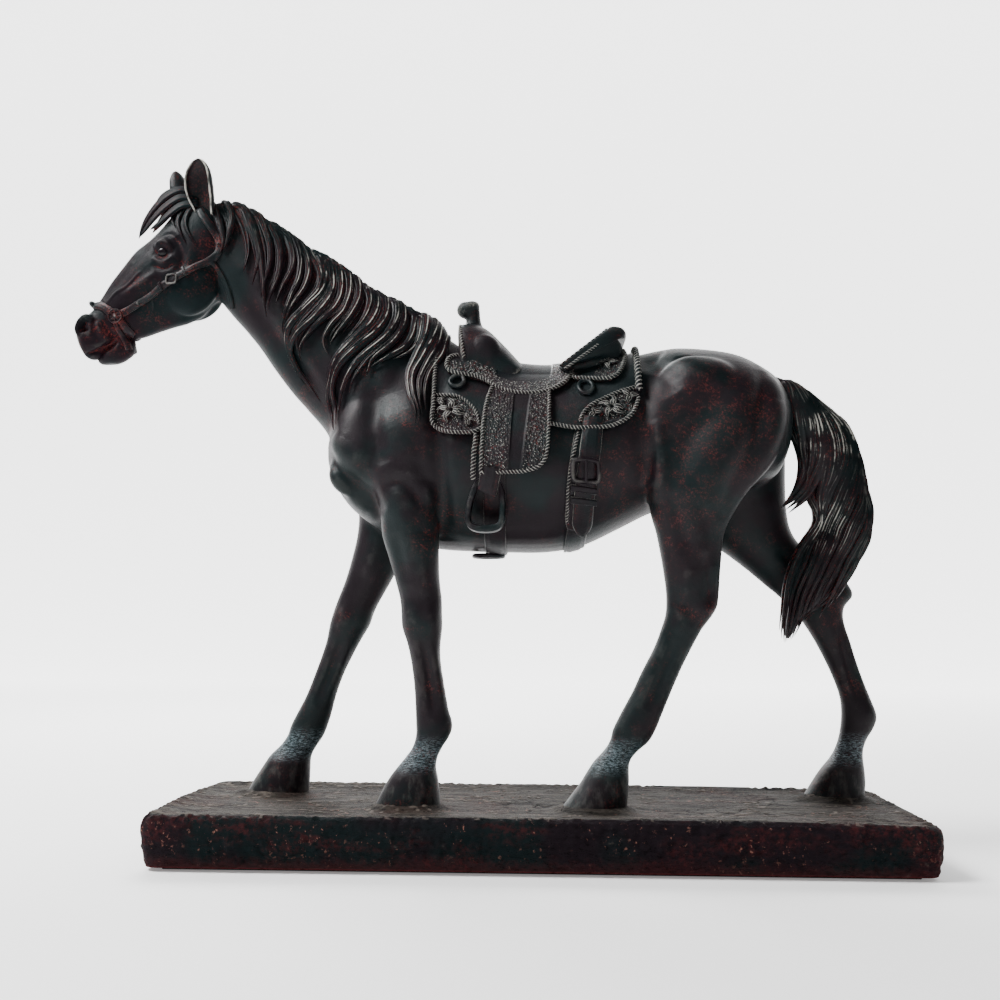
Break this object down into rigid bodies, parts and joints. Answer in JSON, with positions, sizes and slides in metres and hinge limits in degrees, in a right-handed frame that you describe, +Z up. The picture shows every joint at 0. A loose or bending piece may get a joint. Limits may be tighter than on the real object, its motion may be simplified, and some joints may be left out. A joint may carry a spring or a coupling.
{
  "type": "horse statuette",
  "caption": "Free-standing cast bronze statuette of a saddled western horse, walking, on a rectangular slab base.",
  "frame": {"origin": "centre of the felt face the statue rests on", "axes": "+Z up; -X the way the horse faces, along the slab's length; -Y towards the horse's left side, the side its mane falls on"},
  "size_m": [0.3785, 0.108, 0.3205],
  "materials": {
    "patinated_bronze": "near-black patina over bronze, rubbed red-brown and blue-silver on the high spots",
    "patinated_tack": "near-black patina, dry-brushed pale on raised tooling",
    "base_slab": "rough cast ground, dark brown sides, lighter worn top",
    "tack_metal": "dark patina rubbed bright on the rims",
    "plated_steel": "zinc plated",
    "board": "raw fibreboard",
    "felt": "felt"
  },
  "bodies": {
    "root": {"backing_board": "board", "cantle": "patinated_tack", "cinch_ring": "tack_metal", "crownpiece": "patinated_tack", "felt_pad": "felt", "forelock": "patinated_bronze", "fork": "patinated_tack", "front_cinch": "patinated_tack", "head": "patinated_bronze", "horn": "patinated_tack", "left_billet": "patinated_tack", "left_buckle": "tack_metal", "left_ear": "patinated_bronze", "left_fender": "patinated_tack", "left_foreleg": "patinated_bronze", "left_foreleg_nut": "plated_steel", "left_foreleg_stud": "plated_steel", "left_foreleg_washer": "plated_steel", "left_front_ring": "tack_metal", "left_hindleg": "patinated_bronze", "left_hindleg_nut": "plated_steel", "left_hindleg_stud": "plated_steel", "left_hindleg_washer": "plated_steel", "left_rear_ring": "tack_metal", "left_rosette": "tack_metal", "left_stirrup": "patinated_tack", "mane": "patinated_bronze", "neck": "patinated_bronze", "noseband": "patinated_tack", "plinth": "base_slab", "rear_cinch": "patinated_tack", "rear_jockey": "patinated_tack", "right_billet": "patinated_tack", "right_buckle": "tack_metal", "right_ear": "patinated_bronze", "right_fender": "patinated_tack", "right_foreleg": "patinated_bronze", "right_foreleg_nut": "plated_steel", "right_foreleg_stud": "plated_steel", "right_foreleg_washer": "plated_steel", "right_front_ring": "tack_metal", "right_hindleg": "patinated_bronze", "right_hindleg_nut": "plated_steel", "right_hindleg_stud": "plated_steel", "right_hindleg_washer": "plated_steel", "right_rear_ring": "tack_metal", "right_rosette": "tack_metal", "right_stirrup": "patinated_tack", "seat": "patinated_tack", "skirt": "patinated_tack", "tail": "patinated_bronze", "throatlatch": "patinated_tack", "torso": "patinated_bronze"}
  },
  "joints": []
}
